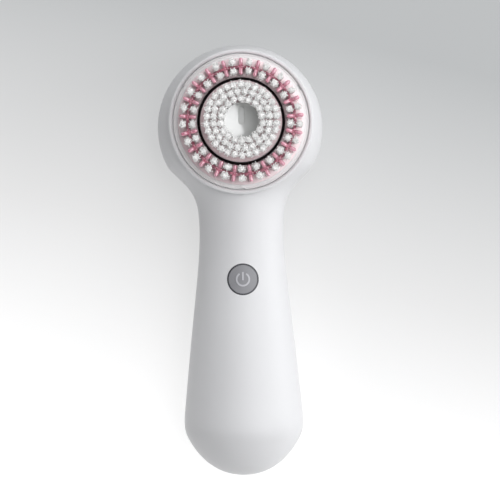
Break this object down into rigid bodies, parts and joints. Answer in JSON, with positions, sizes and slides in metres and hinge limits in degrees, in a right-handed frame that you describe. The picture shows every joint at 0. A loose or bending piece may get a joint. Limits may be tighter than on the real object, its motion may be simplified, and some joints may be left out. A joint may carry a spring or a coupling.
{
  "type": "facial cleansing brush",
  "caption": "Rechargeable handheld facial brush: rounded white handle, soft round head with an oscillating inner brush inside a static ring of soft cross-shaped fingers and tufts.",
  "frame": {"origin": "under the middle of the body, on the surface that the brush lies on, bristles up", "axes": "+Y along the handle towards the brush head, +Z out of the bristles, +X across the body to the right when the power button faces the viewer and the head is up"},
  "size_m": [0.0608, 0.1588, 0.046],
  "materials": {
    "housing_white": "gloss",
    "head_white": "gloss",
    "inner_white": "satin",
    "seal_black": "matte",
    "button_grey": "satin",
    "symbol_light": "gloss",
    "bezel_dark": "matte",
    "silicone_clear": "matte",
    "guard_pink": "gloss",
    "plate_pink": "gloss",
    "tuft_white": "satin",
    "chassis_grey": "satin",
    "board_green": "satin",
    "chip_black": "satin",
    "capacitor_metal": "satin",
    "cell_wrap": "gloss",
    "nickel": "satin",
    "copper": "gloss",
    "ferrite": "matte",
    "magnet_metal": "gloss",
    "lamination": "satin",
    "steel": "satin",
    "bronze": "satin",
    "bobbin_nylon": "satin",
    "lead_red": "satin",
    "lead_black": "satin",
    "acetal": "satin"
  },
  "bodies": {
    "handle": {"front_shell": "housing_white", "back_shell": "housing_white", "shell_seal": "silicone_clear", "head_collar": "housing_white", "head_seat": "inner_white", "button_bezel": "bezel_dark", "button_membrane": "silicone_clear", "switch_body": "chip_black", "chassis": "chassis_grey", "control_board": "board_green", "board_chips": "chip_black", "board_capacitors": "capacitor_metal", "lead_connectors": "inner_white", "battery_cell": "cell_wrap", "battery_tabs": "nickel", "charging_coil": "copper", "ferrite_disc": "ferrite", "dock_magnet": "magnet_metal", "chassis_screws": "steel", "board_screws": "steel", "motor_leads": "lead_red", "coil_leads": "lead_black", "motor_base": "chassis_grey", "motor_cap": "chassis_grey", "stator_core": "lamination", "coil_bobbins": "bobbin_nylon", "coil_windings": "copper", "lower_bearing": "bronze", "upper_bearing": "bronze", "centering_spring": "steel", "shaft_seal": "seal_black", "motor_screws": "steel"},
    "power_button": {"power_button": "button_grey", "power_symbol": "symbol_light"},
    "switch_plunger": {"switch_plunger": "chassis_grey"},
    "armature": {"rotor_core": "steel", "rotor_magnets": "magnet_metal", "drive_shaft": "steel", "drive_hub": "acetal"},
    "head_core": {"head_bush": "acetal"},
    "outer_ring": {"outer_plate": "head_white", "guard_ring": "guard_pink", "outer_tufts_inner_row": "tuft_white", "outer_tufts_outer_row": "tuft_white", "gap_seal": "seal_black"},
    "inner_brush": {"inner_plate": "plate_pink", "inner_tufts_ring_1": "tuft_white", "inner_tufts_ring_2": "tuft_white", "inner_tufts_ring_3": "tuft_white", "centre_cap": "inner_white", "retaining_clip": "steel"}
  },
  "joints": [
    {"name": "drive_oscillation", "type": "hinge", "parent": "handle", "child": "armature", "pos_m": [0, 0.0502, 0], "axis": [0, 0, 1], "range_deg": [-8, 8], "stiffness_Nm_per_rad": 0.02},
    {"name": "button_press", "type": "slide", "parent": "handle", "child": "power_button", "axis": [0, 0, -1], "range_m": [0, 0.0006], "stiffness_N_per_m": 400},
    {"name": "plunger_press", "type": "slide", "parent": "handle", "child": "switch_plunger", "axis": [0, 0, -1], "range_m": [0, 0.0006]},
    {"name": "head_pull", "type": "slide", "parent": "handle", "child": "head_core", "axis": [0, 0, 1], "range_m": [0, 0.024]},
    {"name": "head_twist", "type": "hinge", "parent": "head_core", "child": "outer_ring", "pos_m": [0, 0.0502, 0], "axis": [0, 0, 1], "range_deg": [-20, 0]},
    {"name": "brush_oscillation", "type": "hinge", "parent": "head_core", "child": "inner_brush", "pos_m": [0, 0.0502, 0], "axis": [0, 0, 1], "range_deg": [-8, 8]}
  ],
  "couplings": [
    {"joint": "plunger_press", "follows": "button_press", "ratio": 1},
    {"joint": "brush_oscillation", "follows": "drive_oscillation", "ratio": 1}
  ]
}
